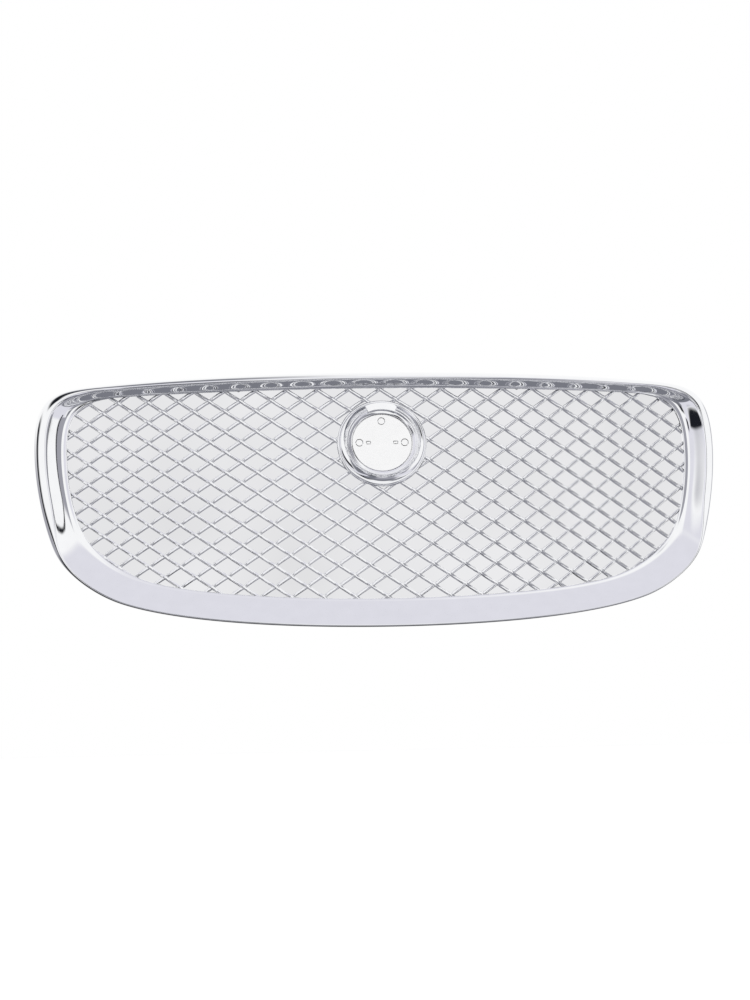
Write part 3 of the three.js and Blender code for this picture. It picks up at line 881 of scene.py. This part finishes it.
CAMERA_TURN = 4.6           # degrees to the left of straight ahead
CAMERA_DISTANCE = 3.0
CAMERA_ROLL = 0.72          # degrees
CAMERA_LENS = 88.35         # millimetres, on a sensor 36 mm along its longer side
AIM = Vector((0, 0, -67 * MM))
FRAMING = Vector((-9.6 * MM, 0, -3.2 * MM))
FLOOR_Z = CAD_BOX[0].z - 0.25      # well below the grille, which hangs free
FLOOR_THICKNESS = 1 * MM
FLOOR_FRONT = -12.0
FLOOR_BACK = 0.9               # short of the backdrop, which shows past it
FLOOR_HALF_WIDTH = 12.0
LAMP_STRENGTH = 3.2
LAMP_ANGLE = 80             # degrees across, as seen from the floor
LAMP_TILT = 10              # degrees
BACKDROP_Y = 5.0
BACKDROP_OVERLAP = 6 * MM      # how far the backdrop reaches behind the surround
BACKDROP_THICKNESS = 4 * MM


def camera_spot():
    turn = math.radians(CAMERA_TURN)
    return AIM + Vector((-math.sin(turn), -math.cos(turn), 0)) * CAMERA_DISTANCE


def build_camera():
    data = bpy.data.cameras.new("camera")
    data.lens = CAMERA_LENS
    data.sensor_width = 36
    data.clip_end = 50
    camera = bpy.data.objects.new("camera", data)
    camera.location = camera_spot()
    look = AIM + FRAMING - camera.location
    camera.rotation_mode = "QUATERNION"
    roll = Matrix.Rotation(math.radians(-CAMERA_ROLL), 3, "Z").to_quaternion()
    camera.rotation_quaternion = look.to_track_quat("-Z", "Y") @ roll
    bpy.context.scene.collection.objects.link(camera)
    bpy.context.scene.camera = camera


class Sky:
    """The studio's surround: a white room with tinted and dark cards, each placed by its direction."""

    def __init__(self):
        world = bpy.data.worlds.new("studio")
        world.use_nodes = True
        bpy.context.scene.world = world
        self.tree = world.node_tree
        self.background = self.tree.nodes["Background"]
        way = self.tree.nodes.new("ShaderNodeTexCoord").outputs["Generated"]
        parts = self.tree.nodes.new("ShaderNodeSeparateXYZ")
        self.tree.links.new(way, parts.inputs["Vector"])
        turn = self.math("ARCTAN2", parts.outputs["X"], parts.outputs["Y"])
        self.azimuth = self.math("MULTIPLY", turn, 180 / math.pi)
        self.elevation = self.math("MULTIPLY", self.math("ARCSINE", parts.outputs["Z"]), 180 / math.pi)
        self.colour = None

    def math(self, operation, *values):
        node = self.tree.nodes.new("ShaderNodeMath")
        node.operation = operation
        for socket, value in zip(node.inputs, values):
            if isinstance(value, (int, float)):
                socket.default_value = value
            else:
                self.tree.links.new(value, socket)
        return node.outputs["Value"]

    def edge(self, angle, half, soft):
        """One inside the card's half angle, falling to nothing over its soft edge."""
        node = self.tree.nodes.new("ShaderNodeMapRange")
        node.interpolation_type = "SMOOTHSTEP"
        node.inputs["From Min"].default_value = half + soft
        node.inputs["From Max"].default_value = half - soft
        self.tree.links.new(self.math("ABSOLUTE", angle), node.inputs["Value"])
        return node.outputs["Result"]

    def card(self, azimuth, elevation, half_width, half_height, soft, turn, tone):
        """Hangs a card in front of what is there already."""
        across = self.math("WRAP", self.math("SUBTRACT", self.azimuth, azimuth), 180, -180)
        up = self.math("SUBTRACT", self.elevation, elevation)
        cos, sin = math.cos(math.radians(turn)), math.sin(math.radians(turn))
        along = self.math("ADD", self.math("MULTIPLY", across, cos), self.math("MULTIPLY", up, sin))
        over = self.math("SUBTRACT", self.math("MULTIPLY", up, cos), self.math("MULTIPLY", across, sin))
        mask = self.math("MULTIPLY", self.edge(along, half_width, soft), self.edge(over, half_height, soft))
        node = self.tree.nodes.new("ShaderNodeMix")
        node.data_type = "RGBA"
        node.inputs["A"].default_value = ROOM_TONE
        node.inputs["B"].default_value = (*tone, 1)
        self.tree.links.new(mask, node.inputs["Factor"])
        if self.colour:
            self.tree.links.new(self.colour, node.inputs["A"])
        self.colour = node.outputs["Result"]
        self.tree.links.new(self.colour, self.background.inputs["Color"])

    def clear_view(self):
        """Hides the cards from the camera's direct view, which sees a white room past the object. They
        still light the object and show in its plating."""
        direct = self.tree.nodes.new("ShaderNodeLightPath").outputs["Is Camera Ray"]
        node = self.tree.nodes.new("ShaderNodeMix")
        node.data_type = "RGBA"
        node.inputs["B"].default_value = ROOM_TONE
        self.tree.links.new(direct, node.inputs["Factor"])
        self.tree.links.new(self.colour, node.inputs["A"])
        self.tree.links.new(node.outputs["Result"], self.background.inputs["Color"])


# The room's white, and the tones of what hangs in it.
ROOM_TONE = (1, 1, 1, 1)
SCRIM = (0.775, 0.77, 0.83)
GREY = (0.36, 0.36, 0.4)
SLATE = (0.2, 0.205, 0.235)
BLACK = (0.012, 0.013, 0.018)

# Cards, placed to suit the plating's reflections in the front view only: azimuth from straight
# behind to the right, elevation, half width, half height and soft edge, the card's turn anticlockwise,
# all in degrees, then its tone. Later cards hang in front.
STUDIO_CARDS = (
    (0, 90, 400, 26, 4, 0, SCRIM),
    (-145, 42, 16, 22, 6, 0, SCRIM),
    (0, -90, 400, 62, 8, 0, GREY),
    (2, -52, 34, 26, 8, 0, SLATE),
    (2, -15, 60, 7, 4, 0, BLACK),
    (180, -30, 26, 10, 5, 0, SLATE),
    (-160, -8, 8, 16, 4, 0, BLACK),
    (158, -6, 9, 14, 4, 0, SLATE),
    (-125, -47, 40, 32, 6, 0, SLATE),
    (-152, 22, 5, 6, 2, 0, BLACK),
    (133, -24, 10, 26, 4, 0, SCRIM),
    (-145, -12, 5, 30, 2, 0, SCRIM),
    (140.6, 26.5, 17, 24, 2, 19, GREY),
    (124.7, 21, 1.2, 30, 0.8, 19, BLACK),
    (-122, 39, 1.6, 24, 5.5, -23, GREY),
    (-131, 6, 8, 17, 2, 0, BLACK),
    (-49, 4, 7, 14, 5, 0, BLACK),
    (-30, -4, 12, 7, 5, 0, GREY),
    (-38, 40, 26, 8, 4, 0, BLACK),
    (-9, 44, 10, 14, 5, 0, SLATE),
    (38, 3, 4, 12, 4, 0, GREY),
    (88, 40, 16, 13, 4, 0, BLACK),
)


def build_world():
    sky = Sky()
    for card in STUDIO_CARDS:
        sky.card(*card)
    sky.clear_view()


def build_painted_shade_card(finish):
    """A glowing pale grey card far behind, cut to the outline that the opening has from the main camera,
    so that it paints the shade seen through the mesh."""
    eye = camera_spot()
    rim = [station.point(station.width - BACKDROP_OVERLAP, 0) for station in STATIONS]
    rim = [eye + (p - eye) * ((BACKDROP_Y - eye.y) / (p.y - eye.y)) for p in rim]
    n = len(rim)
    verts = [p + Vector((0, y, 0)) for y in (0, BACKDROP_THICKNESS) for p in rim]
    faces = [tuple(range(n)), tuple(range(2 * n - 1, n - 1, -1))]
    faces += [(i, i + n, (i + 1) % n + n, (i + 1) % n) for i in range(n)]
    card = mesh_object("painted_shade_card", (verts, faces))
    # Painted shade: the card glows with its own grey in place of the grille's shadow behind it
    card.data.materials.append(glowing_shade_card("painted_shade_glow", finish.painted_shade_card))
    card.visible_glossy = False


def build_lamp():
    """A broad overhead lamp that whitens the floor, kept out of the plating's reflections."""
    data = bpy.data.lights.new("overhead", "SUN")
    data.energy = LAMP_STRENGTH
    data.angle = math.radians(LAMP_ANGLE)
    lamp = bpy.data.objects.new("overhead", data)
    lamp.rotation_euler = (math.radians(LAMP_TILT), 0, 0)
    lamp.visible_glossy = False
    bpy.context.scene.collection.objects.link(lamp)


def build_stage(finish):
    material = paper("studio_paper", finish.paper)
    corners = [(-FLOOR_HALF_WIDTH, FLOOR_FRONT), (FLOOR_HALF_WIDTH, FLOOR_FRONT),
               (FLOOR_HALF_WIDTH, FLOOR_BACK), (-FLOOR_HALF_WIDTH, FLOOR_BACK)]
    floor = mesh_object("floor", prism(corners, FLOOR_Z - FLOOR_THICKNESS, FLOOR_Z))
    floor.data.materials.append(material)
    floor.visible_glossy = False
    build_painted_shade_card(finish)
    build_lamp()
    build_world()
    build_camera()
    bpy.context.scene.view_settings.view_transform = "Standard"


# ---------------------------------------------------------------- operators

class GrillePieceOperator:
    """What the building operators share."""
    bl_options = {"REGISTER", "UNDO"}

    def execute(self, context):
        self.build(context.scene.grille_sizes, context.scene.grille_finish)
        return {"FINISHED"}


class GRILLE_OT_surround(GrillePieceOperator, bpy.types.Operator):
    """Build the plated surround"""
    bl_idname = "grille.surround"
    bl_label = "Surround"

    def build(self, sizes, finish):
        build_surround(sizes, finish)


class GRILLE_OT_mesh(GrillePieceOperator, bpy.types.Operator):
    """Build the woven diamond mesh with its rim and emblem pad"""
    bl_idname = "grille.mesh"
    bl_label = "Mesh"

    def build(self, sizes, finish):
        build_mesh(sizes, finish)


class GRILLE_OT_carrier(GrillePieceOperator, bpy.types.Operator):
    """Give the carrier frame its grained black plastic"""
    bl_idname = "grille.carrier"
    bl_label = "Carrier"

    def build(self, sizes, finish):
        build_carrier(finish)


class GRILLE_OT_frame_screws(GrillePieceOperator, bpy.types.Operator):
    """Build the ten screws that hold carrier, mesh and surround together"""
    bl_idname = "grille.frame_screws"
    bl_label = "Frame screws"

    def build(self, sizes, finish):
        build_frame_screws(sizes, finish)


class GRILLE_OT_clips(GrillePieceOperator, bpy.types.Operator):
    """Build the spring clips on the fixing tabs"""
    bl_idname = "grille.clips"
    bl_label = "Spring clips"

    def build(self, sizes, finish):
        build_clips(finish)


class GRILLE_OT_bezel(GrillePieceOperator, bpy.types.Operator):
    """Build the bevelled ring round the emblem seat"""
    bl_idname = "grille.bezel"
    bl_label = "Emblem bezel"

    def build(self, sizes, finish):
        build_bezel(finish)


class GRILLE_OT_emblem_base(GrillePieceOperator, bpy.types.Operator):
    """Build the emblem seat's floor and posts"""
    bl_idname = "grille.emblem_base"
    bl_label = "Emblem base"

    def build(self, sizes, finish):
        build_emblem_base(finish)


class GRILLE_OT_clamp(GrillePieceOperator, bpy.types.Operator):
    """Build the clamp plate and its screws"""
    bl_idname = "grille.clamp"
    bl_label = "Emblem clamp"

    def build(self, sizes, finish):
        build_clamp(sizes, finish)


class GRILLE_OT_stage(GrillePieceOperator, bpy.types.Operator):
    """Set up the floor, light and camera"""
    bl_idname = "grille.stage"
    bl_label = "Stage"

    def build(self, sizes, finish):
        build_stage(finish)


OPERATORS = (
    GRILLE_OT_stage, GRILLE_OT_surround, GRILLE_OT_mesh, GRILLE_OT_carrier, GRILLE_OT_frame_screws,
    GRILLE_OT_clips, GRILLE_OT_bezel, GRILLE_OT_emblem_base, GRILLE_OT_clamp,
)


class GRILLE_PT_panel(bpy.types.Panel):
    """Sizes, finishes and building steps of the grille"""
    bl_idname = "GRILLE_PT_panel"
    bl_label = "Front grille"
    bl_space_type = "VIEW_3D"
    bl_region_type = "UI"
    bl_category = "Grille"

    def draw(self, context):
        for group in (context.scene.grille_sizes, context.scene.grille_finish):
            box = self.layout.box()
            for name in group.__annotations__:
                box.prop(group, name)
        for operator in OPERATORS:
            self.layout.operator(operator.bl_idname)


CLASSES = (GrilleSizes, GrilleFinish, *OPERATORS, GRILLE_PT_panel)


def register():
    for item in CLASSES:
        bpy.utils.register_class(item)
    bpy.types.Scene.grille_sizes = bpy.props.PointerProperty(type=GrilleSizes)
    bpy.types.Scene.grille_finish = bpy.props.PointerProperty(type=GrilleFinish)


def unregister():
    del bpy.types.Scene.grille_finish
    del bpy.types.Scene.grille_sizes
    for item in reversed(CLASSES):
        bpy.utils.unregister_class(item)


def main():
    register()
    for operator in OPERATORS:
        group, name = operator.bl_idname.split(".")
        getattr(getattr(bpy.ops, group), name)()


if __name__ == "__main__":
    main()
